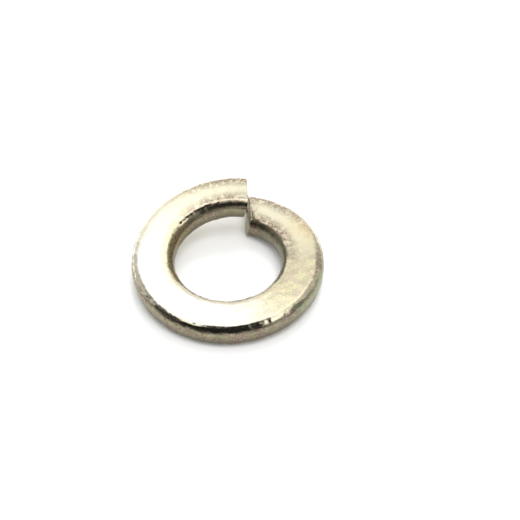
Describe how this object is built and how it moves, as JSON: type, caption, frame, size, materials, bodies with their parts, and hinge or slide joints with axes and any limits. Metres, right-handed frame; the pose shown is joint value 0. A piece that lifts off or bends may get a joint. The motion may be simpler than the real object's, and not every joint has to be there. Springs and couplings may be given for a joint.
{
  "type": "spring lock washer",
  "caption": "Split spring lock washer: one helical turn of rounded rectangular wire, sheared on a slant so that its ends stand apart.",
  "frame": {"origin": "on the hole's axis, at the height of the lowest edge", "axes": "+Z along the hole's axis, towards the nut; the sheared faces are parallel to the YZ plane as seen from above, on the +Y side at X about 2 mm, with the raised end on the -X side of the cut"},
  "size_m": [0.0182, 0.0182, 0.0051],
  "materials": {
    "plated_steel": "spring steel, zinc plated with a pale yellow passivate, satin with a soft mottle"
  },
  "bodies": {
    "root": {"lock_washer": "plated_steel"}
  },
  "joints": []
}
